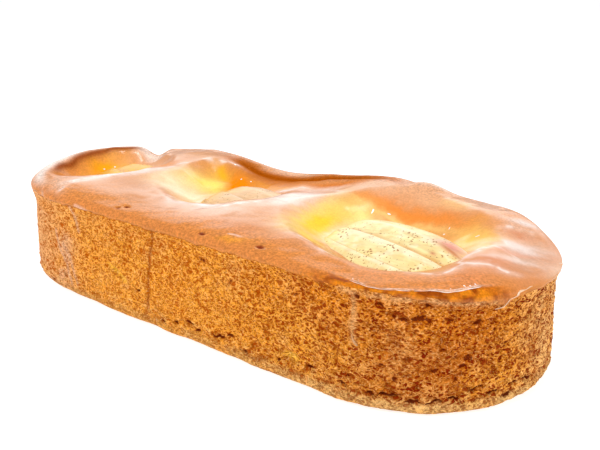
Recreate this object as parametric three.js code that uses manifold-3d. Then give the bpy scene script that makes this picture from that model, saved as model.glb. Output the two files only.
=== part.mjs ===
// Oblong loaf cake with round ends, baked in a deep tin: a sponge whose browned, glazed top has
// risen unevenly round fan-cut apple pieces. Millimetres, +Z up, +X towards the end where the apple
// piece lies open, origin at the middle of the base.

import * as THREE from "three";
import Module from "manifold-3d";

// Loaf outline and wall
const LENGTH = 265;
const WIDTH = 109;
const LIP_HEIGHT = 46;
const LIP_UNDERSIDE = 7;
const WALL_WAIST = 1.3;
const FOOT_INSET = 0.3;
const BASE_ROUND = 4.4;
const END_DROP = 3.6;
const END_DROP_FROM = 85;
const LIP_DIPS = [
  { x: -28, y: 56, drop: 2.6, reach: 26 },
  { x: -114.5, y: 41, drop: 3.2, reach: 5 },
];
const CRACK_HEIGHT = 6.4;
const CRACK_DEPTH = 0.9;
const CRACK_GAPE = 1.3;

// Risen top: mean crown, width of the rolled edge at the two long sides, and its swells and wells.
// A swell fades out as a bell over its reach; a well has a flat share of floor, then a smooth wall.
const CROWN_HEIGHT = 50;
const EDGE_FRONT = 19;
const EDGE_BACK = 7;
const SWELLS = [
  { x: 43, y: 50, rise: 3.8, reachX: 36, reachY: 24 },
  { x: 94, y: 34, rise: 1.4, reachX: 16, reachY: 18 },
  { x: 80, y: 52, rise: -1.6, reachX: 22, reachY: 12 },
  { x: 126, y: 20, rise: -7, reachX: 20, reachY: 38 },
  { x: 88, y: -44, rise: -4.2, reachX: 34, reachY: 20 },
  { x: 104, y: -26, rise: -1.8, reachX: 13, reachY: 12 },
  { x: 8, y: -16, rise: 1, reachX: 12, reachY: 18 },
  { x: 6, y: 30, rise: -4.5, reachX: 18, reachY: 16 },
  { x: -31, y: 46, rise: -5.4, reachX: 26, reachY: 15 },
  { x: -62, y: 35, rise: 2, reachX: 15, reachY: 12 },
  { x: -30, y: -36, rise: -1.8, reachX: 30, reachY: 18 },
  { x: -101, y: 44, rise: -2, reachX: 18, reachY: 18 },
  { x: -105, y: 30, rise: -4.5, reachX: 5.5, reachY: 5.5 },
  { x: -112, y: 38, rise: -6, reachX: 5, reachY: 5 },
  { x: -128, y: 0, rise: 1.6, reachX: 14, reachY: 36 },
];
const WELLS = [
  { x: 64, y: -4, halfLength: 50, front: 35, back: 46, turn: -15, depth: 9.5, floor: 0.46 },
  { x: -27, y: 2, halfLength: 36, front: 31, back: 42, turn: -15, depth: 8.5, floor: 0.36 },
  { x: -42, y: 17, halfLength: 25, front: 20, back: 17, turn: -20, depth: 7.5, floor: 0.3 },
  { x: -101, y: -2, halfLength: 27, front: 36, back: 36, turn: -10, depth: 10, floor: 0.5 },
];

// Apple pieces: quarters cut lengthwise into a fan of slices, lying round side up in the batter. One
// end is cut blunt and the other tapers, each by the power of the sine that gives the girth.
const APPLE_WIDTH = 42;
const APPLE_RISE = 9;
const APPLE_SINK = 8;
const BLUNT_END = 0.36;
const TAPERED_END = 0.7;
const APPLE_SQUARENESS = 0.75;
const APPLE_SLICES = 6;
const SLICE_STEP = 1.1;
const SLICE_GAP = 0.03;
const APPLE_TURN = -15;
const APPLE_CLEARANCE = 0.4;
const APPLES = [
  { name: "apple_near", x: 75, y: -7.5, z: 37.8, length: 70, dip: 0, lean: 11 },
  { name: "apple_middle", x: -2, y: -5, z: 38.8, length: 54, dip: 4, lean: 8 },
  { name: "apple_far", x: -85, y: -3, z: 37, length: 48, dip: 4, lean: 8 },
];

// Mesh fineness
const STRAIGHT_STEPS = 30;
const ARC_STEPS = 26;
const TOP_RINGS = 17;
const TOP_RING_CROWDING = 1.6;
const ROUND_STEPS = 3;
const WALL_STEPS = 5;
const LIP_STEPS = 3;
const POLE_STEPS = 18;
const SLICE_STEPS = 3;
const UNDER_STEPS = 8;

const WELDS_PER_MM = 1e4;

const SPONGE = { color: "#dd9a3f", roughness: 0.6, metalness: 0 };
const APPLE_FLESH = { color: "#f7e3a3", roughness: 0.4, metalness: 0 };

const radius = WIDTH / 2;
const spine = (LENGTH - WIDTH) / 2;
const radians = THREE.MathUtils.degToRad;
const { lerp, smoothstep } = THREE.MathUtils;
const wasm = await Module();
wasm.setup();

// Share of its full height that the wall keeps: the open end has sunk a little, and so has the lip
// at its dips.
function settled(x, y) {
  const drop = LIP_DIPS.reduce(
    (sum, dip) => sum + dip.drop * Math.exp(-(((x - dip.x) ** 2 + (y - dip.y) ** 2) / dip.reach ** 2)),
    END_DROP * smoothstep(x, END_DROP_FROM, LENGTH / 2),
  );
  return 1 - drop / LIP_HEIGHT;
}

// Height of the risen top over a point of the plan: the lip at the outline, a rolled edge, then the
// crown with its swells, less the deepest well there.
function topHeight(x, y) {
  const inset = Math.max(radius - Math.hypot(Math.max(Math.abs(x) - spine, 0), y), 0);
  const edge = lerp(EDGE_FRONT, EDGE_BACK, smoothstep(y, -radius, radius));
  const roll = Math.sqrt(1 - Math.max(1 - inset / edge, 0) ** 2);
  const crown = SWELLS.reduce((sum, s) => {
    const away = ((x - s.x) / s.reachX) ** 2 + ((y - s.y) / s.reachY) ** 2;
    return sum + s.rise * Math.exp(-away);
  }, CROWN_HEIGHT);
  const sunk = WELLS.reduce((deepest, w) => {
    const local = new THREE.Vector2(x - w.x, y - w.y).rotateAround({ x: 0, y: 0 }, -radians(w.turn));
    const away = Math.hypot(local.x / w.halfLength, local.y / (local.y < 0 ? w.front : w.back));
    return Math.max(deepest, w.depth * (1 - smoothstep(away, w.floor, 1)));
  }, 0);
  const lip = LIP_HEIGHT * settled(x, y);
  return lip + (crown - sunk - lip) * roll;
}

// Directions out from the loaf's spine, once round: a straight side, an end, the other side and end
function spokes() {
  const made = [];
  for (const side of [1, -1]) {
    for (let i = 0; i < ARC_STEPS; i++) {
      const angle = Math.PI * (i / ARC_STEPS - 0.5 * side);
      made.push({ x: side * spine, outX: Math.cos(angle), outY: Math.sin(angle) });
    }
    for (let i = 0; i < STRAIGHT_STEPS; i++) {
      made.push({ x: side * spine * (1 - (2 * i) / STRAIGHT_STEPS), outX: 0, outY: side });
    }
  }
  return made;
}

// Half-width and height of each ring up the wall: base, rounded edge, base crack, wall, lip
function wallRings() {
  const foot = radius - FOOT_INSET;
  const waist = radius - WALL_WAIST;
  const rings = [{ out: 0, z: 0 }];
  for (let i = 0; i <= ROUND_STEPS; i++) {
    const angle = (Math.PI / 2) * (i / ROUND_STEPS);
    const out = foot - BASE_ROUND * (1 - Math.sin(angle));
    rings.push({ out, z: BASE_ROUND * (1 - Math.cos(angle)) });
  }
  rings.push({ out: foot - CRACK_DEPTH, z: CRACK_HEIGHT });
  const wallFrom = CRACK_HEIGHT + CRACK_GAPE;
  const wallTo = LIP_HEIGHT - LIP_UNDERSIDE;
  for (let i = 0; i <= WALL_STEPS; i++) {
    const t = i / WALL_STEPS;
    rings.push({ out: lerp(foot, waist, t), z: lerp(wallFrom, wallTo, t) });
  }
  for (let i = 1; i <= LIP_STEPS; i++) {
    const t = i / LIP_STEPS;
    rings.push({ out: lerp(waist, radius, smoothstep(t, 0, 1)), z: lerp(wallTo, LIP_HEIGHT, t) });
  }
  return rings;
}

// Closed skin over rows of points of equal number, each row closed on itself; the first and last
// rows fold flat, so triangles with two corners in one place are left out.
function closedSkin(rows) {
  const places = new Map();
  const vertices = [];
  const corner = (p) => {
    const key = p.map((v) => Math.round(v * WELDS_PER_MM)).join();
    if (!places.has(key)) {
      places.set(key, vertices.length / 3);
      vertices.push(...p);
    }
    return places.get(key);
  };
  const grid = rows.map((row) => row.map(corner));
  const triangles = [];
  const add = (a, b, c) => {
    if (a !== b && b !== c && c !== a) triangles.push(a, b, c);
  };
  for (let j = 1; j < grid.length; j++) {
    grid[j].forEach((here, i) => {
      const next = (i + 1) % grid[j].length;
      add(grid[j - 1][i], grid[j - 1][next], grid[j][next]);
      add(grid[j - 1][i], grid[j][next], here);
    });
  }
  const solid = new wasm.Mesh({
    numProp: 3,
    vertProperties: new Float32Array(vertices),
    triVerts: new Uint32Array(triangles),
  });
  return new wasm.Manifold(solid);
}

function spongeSolid() {
  const directions = spokes();
  const ring = (out, height) =>
    directions.map((d) => {
      const x = d.x + d.outX * out;
      const y = d.outY * out;
      return [x, y, height(x, y)];
    });
  const rows = wallRings().map(({ out, z }) => ring(out, (x, y) => z * settled(x, y)));
  for (let j = 1; j <= TOP_RINGS; j++) {
    const inset = radius * (j / TOP_RINGS) ** TOP_RING_CROWDING;
    rows.push(ring(radius - inset, topHeight));
  }
  return closedSkin(rows);
}

// One apple piece, grown all round by a margin. Rows run from one end of the core to the other;
// across a row the slices step down one after another, and the plain underside closes it.
function appleSolid(apple, margin, step) {
  const lie = new THREE.Euler(radians(apple.lean), radians(apple.dip), radians(APPLE_TURN), "ZYX");
  const place = new THREE.Matrix4().makeRotationFromEuler(lie).setPosition(apple.x, apple.y, apple.z);
  const squared = (v) => Math.sign(v) * Math.abs(v) ** APPLE_SQUARENESS;
  const across = [];
  for (let s = 0; s < APPLE_SLICES; s++) {
    for (let i = 0; i <= SLICE_STEPS; i++) {
      const share = i / SLICE_STEPS;
      const angle = Math.PI * ((s + lerp(SLICE_GAP, 1 - SLICE_GAP, share)) / APPLE_SLICES - 0.5);
      across.push({ angle, low: step * (1 - share) * Math.cos(angle), height: APPLE_RISE });
    }
  }
  for (let i = 1; i < UNDER_STEPS; i++) {
    across.push({ angle: Math.PI * (i / UNDER_STEPS + 0.5), low: 0, height: APPLE_SINK });
  }
  const rows = [];
  for (let j = 0; j <= POLE_STEPS; j++) {
    const pole = Math.PI * (j / POLE_STEPS);
    const sine = Math.sqrt(1 - Math.cos(pole) ** 2);
    const girth = sine ** (pole < Math.PI / 2 ? TAPERED_END : BLUNT_END);
    rows.push(
      across.map(({ angle, low, height }) => {
        const y = (APPLE_WIDTH / 2 + margin) * girth * squared(Math.sin(angle));
        const z = ((height + margin) * squared(Math.cos(angle)) - low) * girth;
        const x = (apple.length / 2 + margin) * Math.cos(pole);
        return new THREE.Vector3(x, y, z).applyMatrix4(place).toArray();
      }),
    );
  }
  return closedSkin(rows);
}

function mesh(name, solid, finish) {
  const { vertProperties, triVerts } = solid.getMesh();
  const geometry = new THREE.BufferGeometry();
  geometry.setAttribute("position", new THREE.BufferAttribute(vertProperties, 3));
  geometry.setIndex(new THREE.BufferAttribute(triVerts, 1));
  geometry.computeVertexNormals();
  const made = new THREE.Mesh(geometry, new THREE.MeshStandardMaterial(finish));
  made.name = name;
  return made;
}

// The sponge has a close-fitting hollow for each apple piece; thin flakes of crust that the hollows
// cut free are dropped, so the loaf stays one body.
const hollows = APPLES.map((apple) => appleSolid(apple, APPLE_CLEARANCE, 0));
const cut = hollows.reduce((sponge, hollow) => sponge.subtract(hollow), spongeSolid());
const loaf = cut.decompose().reduce((largest, body) => (body.volume() > largest.volume() ? body : largest));

const cake = new THREE.Group();
cake.add(mesh("loaf", loaf, SPONGE));
for (const apple of APPLES) {
  cake.add(mesh(apple.name, appleSolid(apple, 0, SLICE_STEP), APPLE_FLESH));
}

export default cake;
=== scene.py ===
from math import radians

import bpy
import numpy as np
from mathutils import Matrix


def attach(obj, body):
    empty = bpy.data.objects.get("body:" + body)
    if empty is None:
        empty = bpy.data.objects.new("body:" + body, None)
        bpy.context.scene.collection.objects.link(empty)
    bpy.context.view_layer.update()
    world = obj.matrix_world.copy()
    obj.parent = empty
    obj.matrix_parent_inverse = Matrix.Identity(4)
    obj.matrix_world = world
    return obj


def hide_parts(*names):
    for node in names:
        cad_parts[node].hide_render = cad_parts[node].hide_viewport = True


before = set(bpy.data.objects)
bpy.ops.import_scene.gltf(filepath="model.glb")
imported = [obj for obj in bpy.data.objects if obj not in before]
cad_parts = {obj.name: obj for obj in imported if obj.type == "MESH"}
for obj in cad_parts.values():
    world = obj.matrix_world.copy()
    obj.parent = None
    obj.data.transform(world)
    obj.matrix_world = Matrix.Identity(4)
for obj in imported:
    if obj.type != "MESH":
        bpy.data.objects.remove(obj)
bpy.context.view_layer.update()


# Sponge: the body of the cake, a butter batter baked in an oblong tin with round ends. Its wall has
# torn from the tin and shows an open golden crumb, above a flatter, cracked strip at the foot. The
# browned top, under the glaze, has a hollow for each apple piece.

# Sizes in mm
MM = 0.001
LENGTH = 265.0
WIDTH = 109.0
LIP_HEIGHT = 46.0
LIP_UNDERSIDE = 7.0
WALL_WAIST = 1.3
FOOT_INSET = 0.3
FOOT_ROUND = 4.4
FAR_FOOT_ROUND = 7.5
END_DROP = 3.6
END_DROP_FROM = 85.0
# Dips of the lip: place, drop and reach
LIP_DIPS = [(-28, 56, 2.6, 26), (-114.5, 41, 3.2, 5)]
RADIUS = WIDTH / 2
SPINE = (LENGTH - WIDTH) / 2
AROUND = 4 * SPINE + 2 * np.pi * RADIUS


def ease(value, start, end):
    """Smooth step from 0 at the start to 1 at the end, either of which may be the greater: 3t^2 - 2t^3."""
    t = np.clip((value - start) / (end - start), 0, 1)
    return t * t * (3 - 2 * t)


def mix(a, b, share):
    """Straight-line mix: a where the share is 0, b where it is 1."""
    return a + (b - a) * share


def bell(away):
    """Bell curve: 1 at no distance, fading as e to the minus distance squared."""
    return np.exp(-(away**2))


def outline(way, out):
    """Places on the plan at a distance out from the spine, by the distance walked round the stadium
    outline from the middle of the back, by way of the far end, the front and the near end: half
    circles about the two ends of the spine, with straight sides between. Gives x and y."""
    arc = np.pi * RADIUS
    bend = np.clip(way - SPINE, 0, arc) + np.clip(way - 3 * SPINE - arc, 0, arc)
    angle = np.pi / 2 + bend / RADIUS
    to_far = np.clip(way, 0, SPINE)
    to_near = np.clip(way - SPINE - arc, 0, 2 * SPINE)
    to_middle = np.clip(way - 3 * SPINE - 2 * arc, 0, SPINE)
    return to_near - to_far - to_middle + np.cos(angle) * out, np.sin(angle) * out


def settled(x, y):
    """Share of its full height that the wall keeps: it eases down by END_DROP at the near end, and
    each dip of the lip takes a bell of its drop off it."""
    drop = END_DROP * ease(x, END_DROP_FROM, LENGTH / 2)
    drop = drop + sum(d * bell(np.hypot(x - at_x, y - at_y) / reach) for at_x, at_y, d, reach in LIP_DIPS)
    return 1 - drop / LIP_HEIGHT


def wall_out(z):
    """Half-width of the wall by height: straight from the foot to the waist under the lip, then eased
    out to the lip."""
    under = LIP_HEIGHT - LIP_UNDERSIDE
    up_wall = np.clip((z - FOOT_ROUND) / (under - FOOT_ROUND), 0, 1)
    straight = mix(RADIUS - FOOT_INSET, RADIUS - WALL_WAIST, up_wall)
    return straight + WALL_WAIST * ease(z, under, LIP_HEIGHT)


def turned(x, y, at_x, at_y, turn):
    """Distances along and across a line through a place, turned by degrees from the cake's length."""
    cos, sin = np.cos(radians(turn)), np.sin(radians(turn))
    return (x - at_x) * cos + (y - at_y) * sin, (y - at_y) * cos - (x - at_x) * sin


CROWN_HEIGHT = 50.0
EDGE_FRONT = 19.0
EDGE_BACK = 7.0
# Swells of the crown: place, rise and reach. Wells: place, half length, front and back half widths,
# turn in degrees, depth and flat share of the floor.
SWELLS = [
    (43, 50, 3.8, 36, 24), (94, 34, 1.4, 16, 18), (126, 20, -7, 20, 38), (88, -44, -4.2, 34, 20),
    (8, -16, 1, 12, 18), (6, 30, -4.5, 18, 16), (-31, 46, -5.4, 26, 15), (-62, 35, 2, 15, 12),
    (-30, -36, -1.8, 30, 18), (-101, 44, -2, 18, 18), (-105, 30, -4.5, 5.5, 5.5), (-112, 38, -6, 5, 5),
    (-128, 0, 1.6, 14, 36), (80, 52, -1.6, 22, 12), (104, -26, -1.8, 13, 12),
]
WELLS = [
    (64, -4, 50, 35, 46, -15, 9.5, 0.46), (-27, 2, 36, 31, 42, -15, 8.5, 0.36),
    (-42, 17, 25, 20, 17, -20, 7.5, 0.3), (-101, -2, 27, 36, 36, -10, 10, 0.5),
]


def top_height(x, y):
    """Height of the risen top over the plan: the lip at the outline, a rolled edge that rises as a
    quarter of an ellipse, then the crown with its swells, each a bell, less the deepest well, each a
    flat floor with an eased wall."""
    inset = np.maximum(RADIUS - np.hypot(np.maximum(np.abs(x) - SPINE, 0), y), 0)
    edge = mix(EDGE_FRONT, EDGE_BACK, ease(y, -RADIUS, RADIUS))
    roll = np.sqrt(1 - np.maximum(1 - inset / edge, 0) ** 2)
    swell = sum(
        rise * bell(np.hypot((x - at_x) / reach_x, (y - at_y) / reach_y))
        for at_x, at_y, rise, reach_x, reach_y in SWELLS
    )
    crown = CROWN_HEIGHT + swell
    sunk = np.zeros_like(x)
    for at_x, at_y, half, front, back, turn, depth, floor in WELLS:
        endways, across = turned(x, y, at_x, at_y, turn)
        away = np.hypot(endways / half, across / np.where(across < 0, front, back))
        sunk = np.maximum(sunk, depth * (1 - ease(away, floor, 1)))
    lip = LIP_HEIGHT * settled(x, y)
    return lip + (crown - sunk - lip) * roll


# Rows of the random lattices, and the least and greatest radius of a bubble as shares of its cell
LATTICE_ROWS = 64
BUBBLE_LEAST = 0.35
BUBBLE_MOST = 0.75


def noise(u, v, cell, seed):
    """Value noise from -1 to 1: random numbers on a lattice of cells, eased between the four corners
    round a point. It repeats once round the outline in u."""
    table = np.random.default_rng(seed).uniform(-1, 1, (round(AROUND / cell), LATTICE_ROWS))
    u, v = u * table.shape[0] / AROUND, v / cell
    i, j = np.floor(u).astype(int), np.floor(v).astype(int)
    share_u, share_v = ease(u - i, 0, 1), ease(v - j, 0, 1)
    corner = [[table[(i + a) % table.shape[0], (j + b) % LATTICE_ROWS] for a in (0, 1)] for b in (0, 1)]
    return mix(mix(*corner[0], share_u), mix(*corner[1], share_u), share_v)


def bubbles(u, v, cell, seed, kept, long=1.0):
    """Depth of burst bubbles from 0 to 1: each cell of a lattice may hold one, at a random place and
    of a random radius. A bubble is as deep as it is wide, less the square of the distance from its
    middle over its radius, and the deepest of the nine near a point counts."""
    count = round(AROUND / (cell * long))
    place_u, place_v, size, chance = np.random.default_rng(seed).random((4, count, LATTICE_ROWS))
    size = mix(BUBBLE_LEAST, BUBBLE_MOST, size)
    u, v = u * count / AROUND, v / cell
    i, j = np.floor(u).astype(int), np.floor(v).astype(int)
    depth = np.zeros_like(u)
    for a, b in np.ndindex(3, 3):
        m, n = i + a - 1, j + b - 1
        cell_here = m % count, n % LATTICE_ROWS
        away = np.hypot(u - m - place_u[cell_here], v - n - place_v[cell_here]) / size[cell_here]
        burst = (chance[cell_here] < kept) * size[cell_here] / BUBBLE_MOST
        depth = np.maximum(depth, burst * (1 - away**2))
    return depth


scene = bpy.context.scene


def closed_skin(name, grid, tint, **marks):
    """Mesh over a grid of rows of points in mm, each row closed on itself, with a colour and other
    marks at each point. Points in one place are merged, and triangles left with two corners in one
    place are dropped, so rows that fold to a line or a point close the skin."""
    rows, columns = grid.shape[:2]
    points = np.round(grid.reshape(-1, 3), 3)
    places, first, index = np.unique(points, axis=0, return_index=True, return_inverse=True)
    index = index.reshape(rows, columns)
    low, high = index[:-1], index[1:]
    low_next, high_next = np.roll(low, -1, 1), np.roll(high, -1, 1)
    halves = np.stack([low, low_next, high_next], -1), np.stack([low, high_next, high], -1)
    faces = np.stack(halves).reshape(-1, 3)
    a, b, c = faces.T
    faces = faces[(a != b) & (b != c) & (c != a)]
    mesh = bpy.data.meshes.new(name)
    mesh.vertices.add(len(places))
    mesh.vertices.foreach_set("co", (places * MM).ravel())
    mesh.loops.add(faces.size)
    mesh.loops.foreach_set("vertex_index", faces.ravel())
    mesh.polygons.add(len(faces))
    mesh.polygons.foreach_set("loop_start", np.arange(0, faces.size, 3))
    mesh.polygons.foreach_set("use_smooth", np.ones(len(faces), bool))
    colours = np.ones((len(places), 4))
    colours[:, :3] = np.broadcast_to(tint, (rows, columns, 3)).reshape(-1, 3)[first]
    mesh.attributes.new("tint", "FLOAT_COLOR", "POINT").data.foreach_set("color", colours.ravel())
    for mark, values in marks.items():
        spread = np.broadcast_to(values, (rows, columns)).reshape(-1)[first]
        mesh.attributes.new(mark, "FLOAT", "POINT").data.foreach_set("value", spread)
    mesh.update(calc_edges=True)
    mesh.validate()
    piece = bpy.data.objects.new(name, mesh)
    scene.collection.objects.link(piece)
    return piece


def linear(colour):
    """Linear light from an sRGB hex colour."""
    c = np.array([int(colour[k : k + 2], 16) for k in (1, 3, 5)]) / 255
    return np.where(c <= 0.04045, c / 12.92, ((c + 0.055) / 1.055) ** 2.4)


def paint(ground, *coats):
    """A ground colour covered in turn with other colours, each by its share at each point."""
    painted = linear(ground)
    for colour, share in coats:
        painted = mix(painted, linear(colour), np.clip(share, 0, 1)[..., None])
    return painted


APPLE_WIDTH = 42.0
APPLE_RISE = 9.0
APPLE_SINK = 8.0
# Powers of the girth towards the two ends, and of the squared ellipse across
BLUNT_END = 0.36
TAPERED_END = 0.7
APPLE_SQUARENESS = 0.75
APPLE_TURN = -15.0
# Each apple piece: place of its middle, length, and dip and lean in degrees
APPLES = {
    "apple_near": (75, -7.5, 37.8, 70, 0, 11),
    "apple_middle": (-2, -5, 38.8, 54, 4, 8),
    "apple_far": (-85, -3, 37.0, 48, 4, 8),
}
FAR_AWAY = 1000.0


def under_apples(x, y):
    """Height of the undersides of the apple pieces over the plan: each is half a squared ellipse that
    hangs from its tilted middle plane; high above the cake where there is none."""
    low = np.full_like(x, FAR_AWAY)
    for at_x, at_y, at_z, length, dip, lean in APPLES.values():
        endways, across = turned(x, y, at_x, at_y, APPLE_TURN)
        taper = np.where(endways > 0, TAPERED_END, BLUNT_END)
        girth = np.sqrt(np.maximum(1 - (2 * endways / length) ** 2, 0)) ** taper
        side = np.clip(2 * np.abs(across) / (APPLE_WIDTH * girth + 1e-6), 0, 1) ** (1 / APPLE_SQUARENESS)
        hang = APPLE_SINK * girth * np.sqrt(1 - side**2) ** APPLE_SQUARENESS
        plane = at_z + across * np.tan(radians(lean)) - endways * np.tan(radians(dip))
        low = np.where(side < 1, np.minimum(low, plane - hang), low)
    return low


def along(table, way):
    """Straight-line reading of a table of (distance round the outline, value), closed on itself."""
    places, values = np.array(table).T
    return np.interp(way, places, values, period=AROUND)


def near_line(u, v, points):
    """Distance from a broken line: the least, over its pieces, to the nearest point of the piece."""
    least = np.full_like(u, FAR_AWAY)
    for (u_a, v_a), (u_b, v_b) in zip(points, points[1:]):
        du, dv = u_b - u_a, v_b - v_a
        share = np.clip(((u - u_a) * du + (v - v_a) * dv) / (du**2 + dv**2), 0, 1)
        least = np.minimum(least, np.hypot(u - u_a - du * share, v - v_a - dv * share))
    return least


CRUMB_COLUMNS = 1120
UNDERSIDE_ROWS = 6
ROUND_ROWS = 10
WALL_ROWS = 64
HIDDEN_ROWS = 8
CRUST_DEPTH = 1.6
APPLE_GAP = 0.4
# Place and reach of the rounder foot at the far end, by the distance round the outline
FAR_FOOT_AT = 225.0
FAR_FOOT_REACH = 45.0
# How far the torn crumb climbs in over the lip, by the distance round the outline
CLIMB = [
    (0, -0.2), (415, -0.2), (428, 0.4), (440, 0.7), (452, 0.6), (460, 0), (464, -0.2), (472, -0.2),
    (477, 0.5), (485, 0.6), (492, 0.2), (498, -0.2),
]

way = np.arange(CRUMB_COLUMNS)[None] / CRUMB_COLUMNS * AROUND
foot_round = mix(FOOT_ROUND, FAR_FOOT_ROUND, bell((way - FAR_FOOT_AT) / FAR_FOOT_REACH))
foot_round = foot_round + 0.7 * noise(way, 0, 12, 10)
angle = np.linspace(0, np.pi / 2, ROUND_ROWS)[:, None]
reach_up = LIP_HEIGHT + along(CLIMB, way)
wall_z = mix(foot_round, reach_up, np.linspace(0, 1, WALL_ROWS + 1)[1:, None])
round_out = RADIUS - FOOT_INSET - foot_round * (1 - np.sin(angle))
sole_out = round_out[:1] * np.linspace(0, 1, UNDERSIDE_ROWS + 1)[:-1, None]
out = np.concatenate([sole_out, round_out, wall_out(wall_z) - np.maximum(wall_z - LIP_HEIGHT, 0)])
z = np.concatenate([0 * sole_out, foot_round * (1 - np.cos(angle)), wall_z])
around = np.broadcast_to(way, z.shape)

# Crumb: bubbles of three sizes, a craggier run of long ones towards the near end, lumps and fine ridges
FINE_BUBBLE = 1.3
MIDDLE_BUBBLE = 2.4
LARGE_BUBBLE = 6.0
LONG_BUBBLE = 1.8
craggy = ease(around, 330, 440) * ease(around, 640, 520)
warp_u = around + 0.9 * noise(around, z, 2.2, 11) + 1.4 * noise(around, z, 5, 12)
warp_z = z + 0.7 * noise(around, z, 2.2, 13) + 0.9 * noise(around, z, 5, 14)
fine = bubbles(warp_u, warp_z, FINE_BUBBLE, 21, 0.7, 1.2)
middle = bubbles(warp_u, warp_z, MIDDLE_BUBBLE, 22, 0.35, 1.4)
large = bubbles(warp_u, warp_z, LARGE_BUBBLE, 23, 0.05)
long_ones = bubbles(warp_u, warp_z, LONG_BUBBLE, 24, 0.42, 2.0)
pore = 0.3 * fine + mix(0.3, 0.5, craggy) * middle + 0.3 * large + 0.85 * craggy * long_ones
lump = 0.25 * noise(around, z, 9, 31) + 0.15 * noise(around, z, 2.6, 32)
ridge = 1 - 2 * np.abs(noise(warp_u, warp_z, 1.4, 33))
lump = lump + mix(0.12, 0.25, craggy) * ridge

# Marks of baking: broken cracks above the foot, deep cavities, two torn scars, a run of syrup, milky
# smears. A crack has its distance round the outline, height and half length, a cavity also half height.
CRACK_HALF_HEIGHT = 0.6
CRACK_DEPTH = 1.2
CAVITY_DEPTH = 0.8
SCAR_DEPTH = 1.1
SYRUP_DEPTH = 0.3
DRIP_RISE = 0.35
WISP_RISE = 0.3
SMEAR_AT = 252
DRIP_AT = 413.9
SLITS = [
    (303.2, 15.5, 1.4), (318, 5.4, 1.6), (326, 7.4, 1.6), (334, 9.4, 3), (338.6, 6.8, 1.8), (350, 8, 4.6),
    (356.5, 10, 2), (364, 6.2, 1.4), (381, 8.8, 1.2), (395.5, 9.5, 2.8), (410, 8.2, 2), (421, 6.8, 2.2),
    (427, 7.5, 4.6), (436, 6.6, 3.4), (443, 6.2, 3.8), (450, 7.5, 2.6), (458, 10.4, 3.6), (465, 8, 2.8),
    (471, 5.4, 2.8), (474, 9.4, 2.6), (482, 9, 4.2), (494, 8, 2.8), (40, 7, 5), (90, 6.4, 4), (150, 7, 5),
    (205, 6, 3), (240, 5, 2), (540, 7, 4), (570, 6.2, 4), (600, 7.4, 4), (630, 6.4, 5),
]
CAVITIES = [
    (414.3, 42.2, 1.5, 1.2), (424, 41.4, 2, 0.8), (428, 37.4, 1.4, 1), (432.4, 36.6, 2.6, 0.9),
    (436.5, 37.8, 2.6, 1.3), (440.2, 37.2, 1.8, 1.2), (447.5, 38.4, 2.2, 0.8), (458, 36.9, 2.4, 0.9),
    (439.5, 43.2, 1.4, 0.9), (455.5, 23.2, 2.4, 1.5), (452.4, 20.4, 2.2, 1), (443, 18.8, 2.4, 0.9),
    (474.4, 43, 1.6, 1.2), (450.8, 15.1, 1.6, 0.8), (410.4, 31, 1, 0.7), (412.4, 11.7, 1.8, 0.8),
    (423.2, 18.5, 1.5, 0.8), (430.2, 14.2, 1.4, 0.7), (445.8, 26.8, 1.3, 0.8), (465, 33.3, 1.2, 0.9),
    (470.3, 27.2, 1.5, 0.8), (341.9, 38.2, 1.5, 1.5), (349, 41.6, 1.1, 0.9), (300, 37, 0.9, 0.8),
    (357, 33, 1.1, 0.8), (398, 30, 1.2, 0.7), (388, 36, 1.2, 0.8), (520, 33, 2.2, 0.9), (548, 24, 1.8, 0.9),
    (586, 36, 1.6, 0.9), (618, 18, 1.4, 0.8), (24, 30, 1.4, 0.9), (76, 22, 1.4, 0.8), (120, 34, 1.6, 0.9),
    (178, 26, 1.4, 0.8), (216, 33, 1.2, 0.8),
]
# Lines on the wall, by the distance round the outline and the height. The second scar is a patch
SCAR = [(284.3, 23.2), (289.4, 20.7), (294.4, 17.8)]
SCAR_HALF_WIDTH = 1.3
SCAR_PATCH = (386.8, 11.2, 4.2, 2.0)
SYRUP = [(315, 45.6), (312.7, 38.3), (310.9, 31.3), (310.3, 24.5), (309.3, 13), (308.9, 6)]
WISPS = [
    [(259.5, 46), (260.5, 44), (262, 40.6), (263.6, 36.3), (264.4, 33.6)],
    [(247, 31), (248.1, 26.3), (250.3, 21), (254.3, 17), (255.1, 12.3), (257.5, 7)],
    [(252, 25), (256, 20.5), (258.6, 14), (262, 8)],
]
# Height of the thin film of glaze under the front lip, by the distance round the outline
FILM = [
    (405, 44.4), (411, 44), (415, 43.4), (423.5, 44.2), (431, 44.8), (440, 45.2), (446, 45.4), (462, 45.4),
    (466, 43), (470, 42),
]
slit_z = z + 0.9 * noise(around, 0, 3, 42) + 0.5 * noise(around, 0, 1.4, 43)
crack = np.maximum.reduce(
    [bell(np.hypot((around - at) / half, (slit_z - up) / CRACK_HALF_HEIGHT) ** 2) for at, up, half in SLITS]
)
cavity = np.maximum.reduce(
    [bell(np.hypot((warp_u - at) / half, (warp_z - up) / tall)) for at, up, half, tall in CAVITIES]
)
flake = 0.5 * noise(around * 0.5, z, 1.6, 44) * ease(z, 14, 9) * ease(z, 1.5, 4)
scar = bell((near_line(around, z + 0.6 * noise(around, z, 2, 54), SCAR) / SCAR_HALF_WIDTH) ** 2)
at, up, half, tall = SCAR_PATCH
scar = np.maximum(scar, bell(np.hypot((around - at) / half, (z - up) / tall) ** 2))
syrup = bell(near_line(around + 0.5 * noise(0, z, 4, 45), z, SYRUP) / 0.9) * ease(z, 6, 10)
wisp = sum(bell(near_line(around, z, line) / 0.9) for line in WISPS)
smear = bell((around - SMEAR_AT - 3 * noise(0, z, 7, 46)) / 5.5) * ease(z, 2, 8) * ease(z, 36, 27)
smear = np.clip(0.7 * smear * ease(noise(around, z, 5, 47), -0.7, 0.3) + wisp, 0, 1)
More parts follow.
